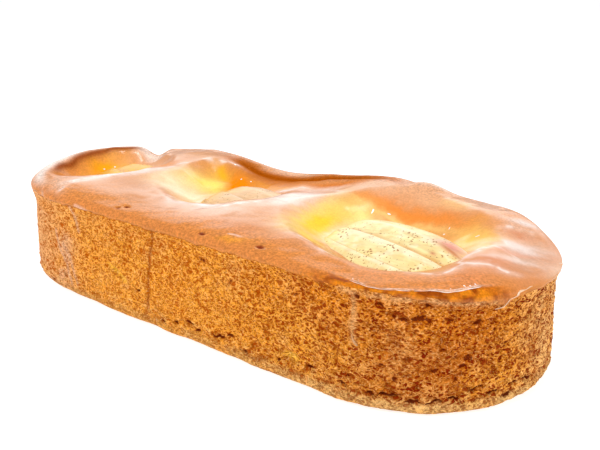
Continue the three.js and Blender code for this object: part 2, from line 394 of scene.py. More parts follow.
from_film = z - along(FILM, around) - 0.5 * noise(around, 0, 4, 48)
film = ease(around, 404, 410) * ease(around, 472, 464) * bell(from_film / 1.4)
drip = bell((around - DRIP_AT - 0.6 * noise(0, z, 5, 50)) / 1.35) * ease(z, 23, 26) * ease(z, 46, 43)
exposed = ease(z, 0.8, 5.5)
pore = pore * mix(0.45, 1, exposed) * (1 - 0.75 * scar) * (1 - 0.5 * smear)
pore = pore * (1 - 0.8 * drip) * (1 - 0.6 * film)
relief = (lump + flake - pore) * ease(z, 0, 1.2)
relief = relief - CRACK_DEPTH * crack - CAVITY_DEPTH * cavity - SCAR_DEPTH * scar - SYRUP_DEPTH * syrup
relief = relief + DRIP_RISE * drip + WISP_RISE * wisp
relief = relief * mix(1, 0.6, ease(z, LIP_HEIGHT - 3, LIP_HEIGHT - 1))
tucked = ease(z - reach_up, -0.9, 0)
out = np.where(z > 0, np.maximum(out + relief * (1 - tucked) - 0.6 * tucked, 0), out)

# Hidden rows close the sponge under the glaze, below the crust and the apple pieces
hidden_out = out[-1:] * np.linspace(1, 0, HIDDEN_ROWS + 1)[1:, None]
hidden_x, hidden_y = outline(way, hidden_out)
under_crust = top_height(hidden_x, hidden_y) - CRUST_DEPTH
hidden_z = np.minimum(under_crust, under_apples(hidden_x, hidden_y) - APPLE_GAP)
wall_x, wall_y = outline(way, out)
over_lip = top_height(wall_x, wall_y) + 0.5 + 0.6 * relief - 1.2 * tucked
wall_set = np.where(z > LIP_HEIGHT, over_lip, z * settled(wall_x, wall_y))
hidden_grid = np.stack([hidden_x, hidden_y, hidden_z], -1)
crumb_grid = np.concatenate([np.stack([wall_x, wall_y, wall_set], -1), hidden_grid])

# How far the crumb is toasted, by the distance round the outline
TOAST = [
    (0, 0), (330, 0), (395, 0.3), (412, 0.45), (428, 0.85), (445, 1.0), (456, 0.85), (468, 0.45),
    (500, 0.35), (640, 0),
]
toasted = np.clip(along(TOAST, around) + 0.3 * noise(around, z, 13, 51), 0, 1)
foot_strip = 1 - ease(z, 4.5, 7.5)
patch = noise(around, z, 8, 52)
soaked = bell((z - 37) / 7) * ease(around, 350, 390) * ease(around, 482, 470)
crumb = paint(
    "#f3a136",
    ("#c46e22", toasted),
    # Painted light: paler towards the near end, where the rim light falls
    ("#f8c07c", 0.7 * ease(around, 466, 496) * ease(around, 545, 508)),
    ("#d6984a", 0.7 * foot_strip),
    ("#f0bc74", 0.85 * foot_strip * craggy),
    ("#eab890", 0.6 * bell((around - 222) / 30)),
    ("#ee9424", 0.45 * ease(patch, 0.1, 0.8)),
    ("#f4b066", 0.25 * ease(-patch, 0.1, 0.8)),
    ("#ea8410", 0.45 * soaked),
    # Painted light and shade of the relief: lighter on the lumps, darker down in the pores
    ("#f6ae5c", 0.6 * ease(lump - pore, 0.05, 0.45)),
    ("#c06810", 0.6 * ease(pore - lump, 0.1, 0.6)),
    ("#8c3000", 0.85 * ease(pore - lump, 0.5, 1.2)),
    ("#ffb83e", scar),
    ("#984400", 0.95 * syrup),
    ("#d4a892", 0.6 * smear),
    ("#dc9c62", 0.75 * drip),
    ("#dca06c", 0.6 * film * ease(noise(around, z, 3, 49), -0.9, 0.2)),
    # Painted light and shade of the flakes: lighter where they stand out, darker where they sink
    ("#f0b868", 0.5 * ease(flake, 0.1, 0.4)),
    ("#8a3c06", 0.6 * ease(-flake, 0.1, 0.4)),
    # Painted shade down in the cavities and the cracks
    ("#b44a00", 0.7 * cavity),
    ("#8a3000", 0.7 * crack),
)


def connect(tree, node, **links):
    """Links each input of a node, called by its name or by its number after an underscore, to an
    output, or sets it to a hex colour or a value."""
    for socket, value in links.items():
        target = node.inputs[int(socket[1:]) if socket[0] == "_" else socket.replace("_", " ")]
        if isinstance(value, bpy.types.NodeSocket):
            tree.links.new(value, target)
        else:
            target.default_value = (*linear(value), 1.0) if isinstance(value, str) else value


def add(tree, kind, settings=(), output=0, **links):
    """One output of a new shader node of a kind, with its settings and its inputs connected."""
    made = tree.nodes.new("ShaderNode" + kind)
    for setting, value in dict(settings).items():
        setattr(made, setting, value)
    connect(tree, made, **links)
    return made.outputs[output]


def new_finish(name, *marks, **values):
    """A material with uniform values on its shader's own sockets. Gives it with its node tree, its
    shader, and the place, the tint and each named mark of a point."""
    finish = bpy.data.materials.new(name)
    finish.use_nodes = True
    tree = finish.node_tree
    shader = tree.nodes["Principled BSDF"]
    connect(tree, shader, **values)
    place = add(tree, "TexCoord", output="Object")
    tint = add(tree, "Attribute", {"attribute_name": "tint"}, "Color")
    read = [add(tree, "Attribute", {"attribute_name": mark}, "Fac") for mark in marks]
    return finish, tree, shader, place, tint, *read


# Sponge crumb: matt baked batter, so almost no gloss; fine grain of sugar and flour breaks up the gold
LACE = 1.35
COARSE_LACE = 2.8
GRAIN = 0.8
WOBBLE = 4.0
WOBBLE_REACH = 2.4
SQUAT = 1.5
times = {"operation": "MULTIPLY"}
times_plus = {"operation": "MULTIPLY_ADD"}
scaled = {"operation": "SCALE"}
colours = {"data_type": "RGBA"}
ridged = {"noise_type": "RIDGED_MULTIFRACTAL"}
crumb_finish, tree, shader, place, tint, craggy_here, open_here, torn_here = new_finish(
    "baked_sponge_crumb", "craggy", "open_share", "torn", Roughness=0.7, IOR=1.4, Specular_IOR_Level=0.05
)
wobble = add(tree, "TexNoise", output="Color", Vector=place, Scale=1 / (WOBBLE * MM))
bent = add(tree, "VectorMath", times_plus, _0=wobble, _1=(WOBBLE_REACH * MM,) * 3, _2=place)
squat = add(tree, "Mapping", Vector=bent, Scale=(1.0, 1.0, SQUAT))
lace = add(
    tree, "TexNoise", ridged, Vector=squat, Scale=1 / (LACE * MM), Roughness=0.55, Offset=1.0, Gain=1.5
)
coarse = add(
    tree, "TexNoise", ridged, Vector=squat, Scale=1 / (COARSE_LACE * MM), Detail=1.0, Offset=1.0, Gain=1.5
)
coarse = add(tree, "Math", {"operation": "SUBTRACT"}, _0=coarse, _1=0.9)
fine_share = add(tree, "MapRange", Value=craggy_here, From_Max=0.3, To_Min=0.75)
lace = add(tree, "Mix", _0=fine_share, _2=0.95, _3=lace)
coarse_share = add(tree, "MapRange", Value=craggy_here, To_Min=0.55)
lace = add(tree, "Math", times_plus, _0=coarse, _1=coarse_share, _2=lace)
hole = add(tree, "MapRange", {"interpolation_type": "SMOOTHSTEP"}, Value=lace, From_Min=0.9, From_Max=0.4)
holes = add(tree, "Math", times, _0=hole, _1=open_here)
grain = add(tree, "TexNoise", Vector=squat, Scale=1 / (GRAIN * MM), Detail=1.0)
bright = add(tree, "MapRange", Value=grain, From_Min=0.3, From_Max=0.7, To_Min=0.78, To_Max=1.22)
# Painted highlight: lighter along the crests of the lace
lit_crest = add(tree, "MapRange", Value=lace, From_Min=0.8, From_Max=1.5, To_Min=0.75, To_Max=1.35)
bright = add(tree, "Math", times, _0=bright, _1=lit_crest)
grained = add(tree, "VectorMath", scaled, _0=tint, Scale=bright)
# Pale grains, partly sugar and flour and partly painted sparkle
pale = add(tree, "MapRange", Value=grain, From_Min=0.52, From_Max=0.7, To_Max=0.42)
grained = add(tree, "Mix", colours, 2, _0=pale, _6=grained, _7="#ffd694")
# Painted shade: orange-brown in the hollows, darker deep in the holes, darkest in the torn gashes
hollow = add(tree, "MapRange", Value=lace, From_Min=1.15, From_Max=0.75, To_Max=0.8)
hollow = add(tree, "Math", times, _0=hollow, _1=open_here)
sunken = add(tree, "Mix", colours, 2, _0=hollow, _6=grained, _7="#d66c00")
depth = add(tree, "Mix", colours, 2, _0=craggy_here, _6="#bc5600", _7="#8a2200")
crumbed = add(tree, "Mix", colours, 2, _0=holes, _6=sunken, _7=depth)
ragged = add(tree, "Math", times_plus, _0=grain, _1=0.9, _2=torn_here)
gash = add(tree, "MapRange", Value=ragged, From_Min=0.92, From_Max=1.08, To_Max=0.9)
crumbed = add(tree, "Mix", colours, 2, _0=gash, _6=crumbed, _7="#6c1a00")
bump = add(tree, "Bump", Height=lace, Strength=0.8, Distance=0.7 * MM)
connect(tree, shader, Base_Color=crumbed, Normal=bump)

# Marks for the material: how open the crumb is, and where it is torn, both darkened as painted shade.
# Hidden rows have none
open_share = mix(0.95, 1, craggy) * mix(0.4, 1, exposed) * (1 - 0.45 * foot_strip) * (1 - scar)
open_share = open_share * (1 - 0.5 * smear) * (1 - 0.85 * drip) * (1 - 0.7 * film)
open_share = open_share * mix(0.6, 1.1, 0.5 + 0.5 * noise(around, z, 6, 53))
torn = np.maximum(crack, mix(0.7, 0.93, ease(craggy, 0.3, 0.9)) * cavity)
unseen = np.zeros((HIDDEN_ROWS, CRUMB_COLUMNS))
sponge = closed_skin(
    "sponge",
    crumb_grid,
    np.concatenate([crumb, unseen[..., None] + linear("#d99a4a")]),
    open_share=np.concatenate([open_share, unseen]),
    craggy=np.concatenate([craggy, unseen]),
    torn=np.concatenate([torn, unseen]),
)
sponge.data.materials.append(crumb_finish)
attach(sponge, "root")
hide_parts("loaf")


# Glazed crust: the browned top of the cake under a thin sheet of sugar glaze, brushed on hot, that
# has run over the lip and set with a wavy border on the wall. It follows the risen top.

SKIN_COLUMNS = 800
BORDER_ROWS = 14
TOP_ROWS = 92
LINING_ROWS = 12
LINING_INSET = 1.4
SKIN_THICK = 0.7
# Share of the thickness that stands proud of the baked top
SKIN_PROUD = 0.6
TOP_CROWDING = 1.35
LEAST_BORDER = 0.3
# How far under the lip the glaze ends, by the distance round the outline
BORDER = [
    (0, 1.4), (20, 1.6), (45, 1.2), (58, 2.8), (66, 1.3), (100, 1.2), (130, 1.8), (150, 1.2), (168, 3.2),
    (176, 1.4), (200, 1), (220, 0.9), (236, 0.6), (246, 0.9), (254, 1.3), (259, 0.9), (265, 1.4),
    (279, 1.1), (288, 1.4), (301, 1.3), (311, 1.7), (323, 0.9), (334, 1.2), (345, 1.8), (356, 1.2),
    (366, 1.8), (376, 1.3), (385, 1.5), (395, 1.9), (405, 2), (410, 1.6), (416, 1.6), (423, 1.6), (430, 1),
    (440, 0.4), (447, 0.3), (457, 0.3), (463, 1.4), (466, 3), (468, 4), (470, 2), (474, 0.6), (480, 0.4),
    (490, 0.5), (500, 0.9), (507, 2), (511, 3.6), (515, 2.4), (530, 1.4), (560, 2.2), (580, 1.2),
    (600, 1.8), (613, 4.2), (620, 1.5), (640, 1.1),
]
# How far inside the lip the thick glaze of the front right ends in a bead; below it the wall is only wet
BEAD = [
    (384, 0), (390, 1.9), (395, 4), (401, 5.2), (406, 5.4), (411, 3.9), (418, 2), (423, 1.8), (430, 2.8),
    (440, 4.1), (447, 3), (452, 3.6), (458, 4.3), (468, 3), (474, 0),
]


def spot(x, y, at_x, at_y, reach_x, reach_y, turn=0.0):
    """Soft oval spot on the plan: a bell over its two reaches, turned by degrees."""
    endways, across = turned(x, y, at_x, at_y, turn)
    return bell(np.hypot(endways / reach_x, across / reach_y))


def waves(x, y, inset):
    """Unevenness of the glazed top: three value noises of falling size, faded out towards the lip, and
    a lump of thick glaze on the back rim."""
    wavy = 0.45 * noise(x, y, 16, 61) + 0.22 * noise(x, y, 7, 62) + 0.1 * noise(x, y, 3, 58)
    return ease(inset, 1, 8) * wavy + 1.6 * spot(x, y, 57, 47, 7, 4, 12) - 0.6 * spot(x, y, 47, 48, 4, 4)


way = np.arange(SKIN_COLUMNS)[None] / SKIN_COLUMNS * AROUND
border = along(BORDER, way) + 0.45 * noise(way, 0, 5, 59) + 0.35 * noise(way, 0, 2, 60)
border = np.maximum(border, LEAST_BORDER)
on_wall = -border * np.linspace(1, 0, BORDER_ROWS + 1)[:-1, None]
on_top = RADIUS * np.linspace(0, 1, TOP_ROWS)[:, None] ** TOP_CROWDING
inset = np.concatenate([on_wall, np.broadcast_to(on_top, (TOP_ROWS, SKIN_COLUMNS))])
around = np.broadcast_to(way, inset.shape)
skin_out = np.where(inset < 0, wall_out(LIP_HEIGHT + inset), RADIUS - inset)
x, y = outline(way, skin_out)
skin_z = np.where(inset < 0, (LIP_HEIGHT + inset) * settled(x, y), top_height(x, y))

# Bead and wet band at the front right, and folds of the crust: the crease along the back, as y by x,
# and the pits of the front rim, each a place and its reach
WET_FROM = 384
WET_TO = 474
BEAD_RISE = 0.35
CREASE_DEPTH = 0.9
PIT_DEPTH = 0.9
CREASE = [
    (-62, 45), (-50, 43), (-38, 40.5), (-25, 39.5), (-12, 39.5), (-4, 43), (3, 46), (12, 47), (25, 46),
    (48, 43.5),
]
PITS = [
    (-36.9, -46.4, 1.5, 1.0), (-39.2, -49.4, 1.0, 0.8), (13.4, -51.4, 1.6, 0.9), (41.5, -49.3, 1.9, 1.1),
]
front_right = ease(around, WET_FROM, 410) * ease(around, WET_TO, 462)
bead_at = np.where(front_right > 0, along(BEAD, np.clip(around, WET_FROM, WET_TO)), 0)
wet = front_right * (1 - ease(inset - bead_at, mix(-4.0, -0.5, ease(around, 395, 415)), 0.3))
bead = ease(around, 404, 412) * ease(around, 466, 458) * bell((inset - bead_at - 0.3) / 0.3)
bead = bead * mix(0.35, 1, ease(noise(around, 0, 6, 66), -0.3, 0.5))
plump = np.minimum(ease(inset + border, 0, 0.8), 1 - 0.8 * wet)
inside = ease(inset, 1, 8)
crease_y = np.interp(x, *np.array(CREASE).T) + 0.8 * noise(x, 0, 12, 63)
crease = bell((y - crease_y) / mix(3.9, 2.0, ease(x, -10, 6))) * ease(x, -64, -46) * ease(x, 50, 5)
pits = sum(spot(x, y, *pit) for pit in PITS)
rise = SKIN_THICK * plump * SKIN_PROUD + BEAD_RISE * bead + waves(x, y, inset)
rise = rise - CREASE_DEPTH * crease - PIT_DEPTH * pits
wet_relief = wet * (0.5 * bubbles(around, inset, 2.4, 64, 0.6, 1.4) + 0.25 * noise(around, inset, 2, 65))
outward = np.sqrt(1 - ease(inset, -2, 9))
skin_out = skin_out + outward * (rise * (1 - inside) - wet_relief)
skin_z = skin_z + rise * ease(inset, 0, 4)
x, y = outline(way, skin_out)

# The lining closes the sheet of glaze just under the baked top
lining_out = (RADIUS - LINING_INSET) * np.linspace(0, 1, LINING_ROWS)[:, None]
lining_x, lining_y = outline(way, lining_out)
lining_z = top_height(lining_x, lining_y) - SKIN_THICK
lining_grid = np.stack([lining_x, lining_y, lining_z], -1)
skin_grid = np.concatenate([lining_grid, np.stack([x, y, skin_z], -1)])

# Slope of the top: glaze gathers milky where it lies flat, and runs thin where it is steep. The milky
# share of the flat tops is partly painted sheen
STEP = 0.8
across_x = top_height(x + STEP, y) - top_height(x - STEP, y)
across_y = top_height(x, y + STEP) - top_height(x, y - STEP)
slope = np.hypot(across_x, across_y) / (2 * STEP)
flat = ease(slope, 0.40, 0.02) ** 1.5 * ease(inset, 9, 25)
brushed = 0.6 * noise(x * 0.5, y, 9, 67) + 0.4 * noise(x * 0.4, y, 4, 68)
flat = np.clip(flat * mix(0.75, 1.25, 0.5 + 0.5 * brushed), 0, 1)

# Soft oval spots of the top, painted in turn: colour, place, reach, turn in degrees and share. Milky
# white on the ridges, partly glaze lying thick and partly painted sheen; orange, yellow and amber where
# juice and syrup soaked the wells, lighter as painted light on slopes turned from the lamps; brown at
# the inner edges
ZONES = [
    ("#d8966a", -59, -15, 12, 17, 0, 0.6), ("#fff4ea", -109, 31, 6, 5, 30, 0.8),
    ("#d89868", -44, -38, 26, 8, 0, 0.7), ("#e2a47c", -2, -37, 22, 8, 0, 0.5),
    ("#d68c5c", 28, -40, 20, 7, 0, 0.6), ("#f0ccb4", -88, -44, 12, 5, -25, 0.5),
    ("#cc7c34", -30, 38, 34, 7, 0, 0.8), ("#d2904e", -20, 50, 40, 5, 0, 0.6),
    ("#fbe9e0", 11, 6, 9, 22, 5, 0.5), ("#f4d8c8", 16, 30, 10, 6, -25, 0.45),
    ("#f6e4da", 111, 22, 7, 14, 10, 0.35), ("#c49c84", 120, 8, 9, 24, 0, 0.75),
    ("#d98a50", 95, -38, 24, 9, 20, 0.5), ("#efcdb4", 36, 37, 14, 8, 0, 0.5),
    ("#dca880", 62, 45, 18, 6, -5, 0.5), ("#cc8c5c", -84, 38, 20, 8, 0, 0.7),
    ("#d09868", -70, 31, 11, 7, 0, 0.55), ("#e2945e", -74, 9, 7, 11, 0, 0.8),
    ("#d88858", 114, -6, 8, 10, 0, 0.85), ("#da8a5c", 116, -26, 8, 8, 30, 0.5),
    ("#f6dcae", -54, -2, 11, 14, 0, 0.9), ("#ecb890", 66, 36, 30, 6, -5, 0.6),
    ("#f3bc78", 76, 36, 7, 4, -10, 0.7), ("#ee8c38", 58, 27, 30, 3.8, -3, 1.1),
    ("#e8924c", 35, 27, 6, 4, 30, 0.55), ("#f8cf80", 60, 22.5, 26, 2.2, -4, 0.8),
    ("#ffc45c", 94, 15, 10, 9, -30, 1.1), ("#f8c050", 100, 8, 5, 8, -20, 0.7),
    ("#fdeeb4", 29, 0, 6, 22, 8, 0.7), ("#f7cb3a", 33, -3, 8, 18, 6, 1.2),
    ("#f6dc78", 42, -24, 8, 6, -35, 0.8), ("#fbe070", -48, 12, 10, 10, 20, 1.1),
    ("#fbe9b8", -42, -5, 14, 8, 10, 0.7), ("#f4b020", -51, 25, 7, 4, -20, 0.9),
    ("#e89424", -18, 28, 14, 4, 0, 1), ("#d07a2c", -22, 34, 20, 4, 0, 0.9),
    ("#ee8800", -36.5, 22, 6, 6.5, 30, 1.5), ("#d27622", 12, 39, 14, 4, 14, 1),
    ("#f0ae58", -112, 4, 8, 16, 0, 1), ("#f09800", -114.5, 3, 5, 8, 0, 1),
    ("#fee6cc", -96, 13, 11, 11, 0, 1), ("#e8962e", 28, -49.5, 5, 2, 20, 0.9),
    ("#fde68a", 40, 16, 8, 7, -10, 0.9), ("#fdf2cc", 47, 9, 6, 8, -15, 0.9),
    ("#fdf0c0", 42, -5, 4, 12, 5, 0.8), ("#fbeee6", 112, 17, 13, 3, 42, 0.35),
    ("#fbeee6", 117, 4, 12, 3, 36, 0.4), ("#d88a60", 113, 11, 11, 2.4, 40, 0.75),
    ("#fbf0e8", 60, 47, 9, 4, 12, 0.45), ("#cf9568", 86, 45, 12, 5, -25, 0.6),
    ("#dd9a80", 8, 22, 8, 1.6, -20, 0.5), ("#fbe8e0", 15, 7, 7, 17, 5, 0.6),
    ("#c49070", -58, -24, 13, 9, 0, 0.4), ("#d8c4ba", -14, -28, 20, 5, 0, 0.5),
    ("#e0d2cc", 112, 17, 9, 4, 22, 0.65), ("#e2d6d0", 107, 37, 7, 3, 33, 0.7),
    ("#d08050", 109, 27, 6, 2.4, 30, 0.8), ("#d68c5a", 98.5, 25, 5, 6, 0, 0.5),
    ("#cc8450", 28, -36, 15, 5, 0, 0.55), ("#cc8a5c", -42, -36, 13, 5, 0, 0.5),
    ("#cc8052", 115, -8, 7, 6, 0, 0.5), ("#d08c5c", 60, -39, 10, 5, 0, 0.4),
    ("#d89868", 18, -22, 8, 8, 0, 0.45), ("#f2aa08", -113.5, 8.5, 9, 2.5, 58, 0.9),
    ("#f0e6e2", -75, -18, 22, 4, 69, 0.85),
]
# Lines of painted highlight where the glossy glaze catches the light on the crests, on the plan, and at
# the lip by way and inset
CREST_LINES = [
    [(-83, -37), (-80, -26), (-75, -8), (-67, 4), (-66, 16), (-65, 24), (-57.5, 30.5), (-49, 33)],
    [(-76, -50), (-79.5, -46.5), (-81, -40.5), (-79, -30)],
    [(-34, -21), (-25, -26.5), (-16, -29.5), (-7, -28.5), (0, -24), (5, -14)],
    [(-10, 24), (1.5, 29), (12, 28.5), (23, 26)],
    [
        (46, -33), (60, -35), (75, -34.5), (92, -31.8), (104.8, -26.8), (106, -18), (103, -4), (103, 6),
        (108, 14),
    ],
    [(104, 21), (105, 28), (108.5, 30), (114, 35)],
    [(101, 7.5), (107, 10), (112, 9.5), (119, 8.5)],
    [(105.5, -19), (107, -13.5), (113, -13), (117, -7.5), (122, -10)],
]
LIP_LINES = [
    [(234.4, 3.5), (236, 1.7), (241.6, -0.4), (243.7, -1.8)],
    [(264.8, 0), (271.9, -0.5), (278.6, -1.2)],
    [(351, 7.2), (354, 7.6), (358.5, 7)],
]
drift_x = x + 2.2 * noise(x, y, 15, 71) + 1.5 * noise(x, y, 5, 72) + 1.2 * noise(x, y, 2.2, 77)
drift_y = y + 2.0 * noise(x, y, 15, 73) + 1.2 * noise(x, y, 5, 74) + 0.8 * noise(x, y, 2.2, 78)
from_crest = np.minimum.reduce([near_line(drift_x, drift_y, line) for line in CREST_LINES])
painted_crest_highlight = 0.4 * bell(from_crest / 3.0) + 0.6 * bell(from_crest / 0.8)
painted_crest_highlight = painted_crest_highlight + sum(0.6 * bell(near_line(around, inset, line) / 0.45) for line in LIP_LINES)
painted_crest_highlight = np.clip(painted_crest_highlight, 0, 1) * mix(0.2, 1, ease(noise(x, y, 4, 76), -0.4, 0.5))
far_end = ease(x, -96, -116) * ease(y, -36, -20) * ease(y, 34, 24)
far_rim_sheen = ease(x, -86, -112) * ease(y, 34, 24)
far_inner = far_end * bell((inset - 8.8 - 0.8 * noise(around, 0, 9, 75)) / 1.9)
wet_patch = noise(around, inset, 2.2, 69)
crust = paint(
    "#d6843a",
    ("#d07e40", 0.7 * ease(inset, 7, -1)),
    # Milky where the glaze lies flat, partly thick glaze and partly painted sheen
    ("#f4d6c2", 0.3 * flat),
    *[(colour, share * spot(drift_x, drift_y, *oval)) for colour, *oval, share in ZONES],
    # Crease along the back: caramel brown, partly painted shade in the fold
    ("#a44c04", crease**0.4),
    # Painted highlight along the crests and the lip
    ("#fff6f0", 0.65 * painted_crest_highlight),
    # Painted sheen along the rim at the far end
    ("#fbf0e8", 0.85 * far_rim_sheen * bell((inset - 4.2) / 2.8)),
    # Dark brown inside the far rim, partly caramel and partly painted shade
    ("#8a380a", 0.85 * far_inner),
    ("#d98a35", 0.6 * ease(inset + border, 1.8, 0)),
    # Pale at the lip of the near end, partly milky glaze and partly painted highlight
    ("#e0bc9c", 0.5 * bell((around - 500) / 11) * bell((inset - 0.5) / 2.2)),
    # Painted shadow: a thin dark line along the lower edge of the glaze, except on the wet band
    ("#9a5418", 0.7 * (1 - wet) * bell((inset + border) / 0.45)),
    ("#c06608", 0.9 * wet),
    ("#8a3402", 0.75 * wet * ease(wet_patch, 0.0, 0.6)),
    ("#ea8c18", 0.6 * wet * ease(-wet_patch, 0.1, 0.7)),
    ("#d49c6c", 0.4 * wet * ease(around, 425, 435) * ease(inset, 0.6, -0.6)),
    ("#fbeadc", 0.6 * bead),
    ("#7a2008", 0.9 * ease(pits, 0.25, 0.6)),
)

# Gloss: full where the glaze lies thick, and duller in ovals where it has run thin or soaked in: place,
# reach, turn in degrees and share of the gloss lost
DULL = [
    (-15, 37, 36, 9, 0, 0.95), (14, 40, 22, 7, 8, 0.9), (-42, 16, 16, 12, -15, 0.7),
    (31, -2, 11, 18, 8, 0.7), (62, 28, 34, 8, -4, 0.5), (-70, -10, 16, 24, 0, 0.85),
    (-112, 4, 12, 24, 0, 0.95), (122, 0, 15, 40, 0, 0.75), (96, -36, 26, 11, 20, 0.6),
    (44, 22, 9, 6, 0, 0.85), (-40, 20, 14, 9, -15, 0.95), (-50, 24, 11, 9, 0, 0.9), (33, -3, 9, 18, 6, 0.6),
    (-74, 8, 9, 13, 0, 0.8), (30, -38, 16, 8, 0, 0.8), (-42, -38, 15, 7, 0, 0.6), (18, -22, 8, 8, 0, 0.5),
    (115, -6, 8, 8, 0, 0.5), (60, -39, 12, 6, 0, 0.4), (-75, 34, 16, 8, 0, 0.7), (60, 46, 14, 5, 0, 0.6),
    (-58, -24, 12, 10, 0, 0.5),
]
gloss = 1 - 0.55 * ease(inset, 22, 6) * ease(y, 10, -20)
gloss = gloss * (1 - np.clip(1.3 * crease**0.4, 0, 1)) * (1 - 0.95 * far_inner) * (1 - 0.7 * wet)
for *oval, share in DULL:
    gloss = gloss * (1 - share * spot(x, y, *oval))
smooth = 0.7 * np.maximum(ease(x, 98, 114) * ease(y, -30, -12), spot(x, y, -112, 4, 13, 26))
baked = (1 - 0.7 * ease(inset, 8, 22)) * (1 - smooth)

# Sugar glaze over browned crust: a clear, hard, glossy coat over a warm ground with fine baked mottle
MOTTLE = 1.8
FLECK = 0.9
glaze_finish, tree, shader, place, tint, gloss_here, baked_here = new_finish(
    "sugar_glaze_on_crust", "gloss", "baked",
    Roughness=0.45, IOR=1.4, Specular_IOR_Level=0.0, Coat_Roughness=0.2, Coat_IOR=1.42,
)
mottle = add(tree, "TexNoise", Vector=place, Scale=1 / (MOTTLE * MM), Detail=4.0, Roughness=0.65)
shade = add(tree, "MapRange", Value=mottle, From_Min=0.25, From_Max=0.75, To_Min=0.78, To_Max=1.16)
fleck = add(tree, "TexNoise", Vector=place, Scale=1 / (FLECK * MM), Detail=1.0)
flecked = add(tree, "MapRange", Value=fleck, From_Min=0.3, From_Max=0.7, To_Min=0.82, To_Max=1.14)
rough = add(tree, "Math", times, _0=shade, _1=flecked)
shade = add(tree, "Mix", _0=baked_here, _2=1.0, _3=rough)
mottled = add(tree, "VectorMath", scaled, _0=tint, Scale=shade)
bump = add(tree, "Bump", Height=mottle, Strength=0.4, Distance=0.3 * MM)
connect(tree, shader, Base_Color=mottled, Coat_Weight=gloss_here, Normal=bump)

lining = np.zeros((LINING_ROWS, SKIN_COLUMNS))
glazed_crust = closed_skin(
    "glazed_crust",
    skin_grid,
    np.concatenate([lining[..., None] + linear("#d98b45"), crust]),
    gloss=np.concatenate([lining, np.maximum(gloss, bead)]),
    baked=np.concatenate([lining + 1, baked]),
)
glazed_crust.data.materials.append(glaze_finish)
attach(glazed_crust, "root")


# Glaze runs: beads and drips of sugar syrup that ran off the lip while hot and set on the wall, with
# the thick bead where the sheet of glaze ends at the front. They cling to the crust and the crumb.

RUN_STEPS = 90
RUN_COLUMNS = 10
# How far the middle of a run stands off the skin, its greatest half thickness, and how long its ends are
RUN_LIFT = 0.22
RUN_THICK = 0.35
RUN_END = 0.8
# Each run: colour, then distance round the outline, height up the wall (past the lip, inwards over the
# top) and half width
RUNS = [
    ("#fdeee0", [
        (404, 51.4, 0.1), (411, 49.9, 0.26), (418, 48.0, 0.25), (423, 47.8, 0.22), (430, 48.8, 0.22),
        (440, 50.1, 0.2), (447, 49.0, 0.32), (452, 49.6, 0.3), (460, 50.3, 0.12),
    ]),
    ("#c88e56", [(413.4, 28, 0.2), (413.8, 26.4, 0.4), (414.6, 25, 0.6), (415.8, 24.2, 0.8)]),
    ("#e6be98", [
        (463, 41.6, 0.2), (466.7, 42.2, 0.3), (468.5, 45.2, 0.22), (472.9, 46.4, 0.22), (478, 46.7, 0.18),
        (485, 46.5, 0.1),
    ]),
    ("#d08a48", [(509, 47, 1.0), (511, 45, 1.3), (511.4, 43.0, 0.8)]),
    ("#d9a878", [(560, 47, 0.6), (561, 43.5, 0.7), (560.4, 39, 0.8)]),
    ("#c8843c", [(612, 46.8, 0.8), (613.2, 41, 0.6), (613.0, 34, 0.9)]),
    ("#d9a878", [(57, 46.8, 0.6), (58, 43, 0.7), (58.2, 40.5, 0.9)]),
    ("#c8843c", [(167, 46.8, 0.7), (168, 42, 0.6), (167.6, 36, 0.9)]),
]
# Glints: painted highlights, laid on as small white dots of glaze, each a short run given by its two
# ends and thickest between
GLINT_END = 0.4
GLINT_MIDDLE = 0.55
GLINTS = [
    (410.2, 52.4, 411, 51.2), (411.6, 51.8, 412.3, 50.6), (413, 52.2, 413.6, 50.9),
    (415, 50.6, 416.2, 49.6), (447.5, 51.2, 448, 49.7), (453, 52.2, 453.6, 50.6), (455, 51.6, 456, 50.9),
    (457.6, 52.3, 458, 51), (611.6, 76.6, 611, 79.8), (605.4, 76, 603, 76.2), (574.5, 79.8, 571.6, 80.1),
    (572.6, 76, 571.4, 77.8), (531.4, 74.8, 532.2, 77.2), (50, 66, 48, 66.3), (39, 73.6, 37.6, 73.3),
    (34, 71.6, 32.6, 72), (158.5, 61.6, 156.5, 62), (150, 62.2, 148, 62.4), (143.5, 63.2, 142.6, 64.4),
    (138, 65.2, 136.8, 65.6),
]
for way_a, up_a, way_b, up_b in GLINTS:
    halfway = ((way_a + way_b) / 2, (up_a + up_b) / 2, GLINT_MIDDLE)
    RUNS.append(("#fffaf4", [(way_a, up_a, GLINT_END), halfway, (way_b, up_b, GLINT_END)]))


def on_skin(way, up, lift):
    """Points on the loaf's skin, by the distance round the outline and the way up the wall and in over
    the top, lifted off it along a direction that turns from outward at the wall to upward inside."""
    inset = np.maximum(up - LIP_HEIGHT, 0)
    turn = np.pi / 2 * ease(inset, -1, 10)
    skin_out = np.where(up < LIP_HEIGHT, wall_out(up), RADIUS - inset)
    out = skin_out + lift * np.cos(turn)
    x, y = outline(way, skin_out)
    skin_z = np.where(up < LIP_HEIGHT, up * settled(x, y), top_height(x, y) + waves(x, y, inset))
    return np.stack([*outline(way, out), skin_z + lift * np.sin(turn)], -1)


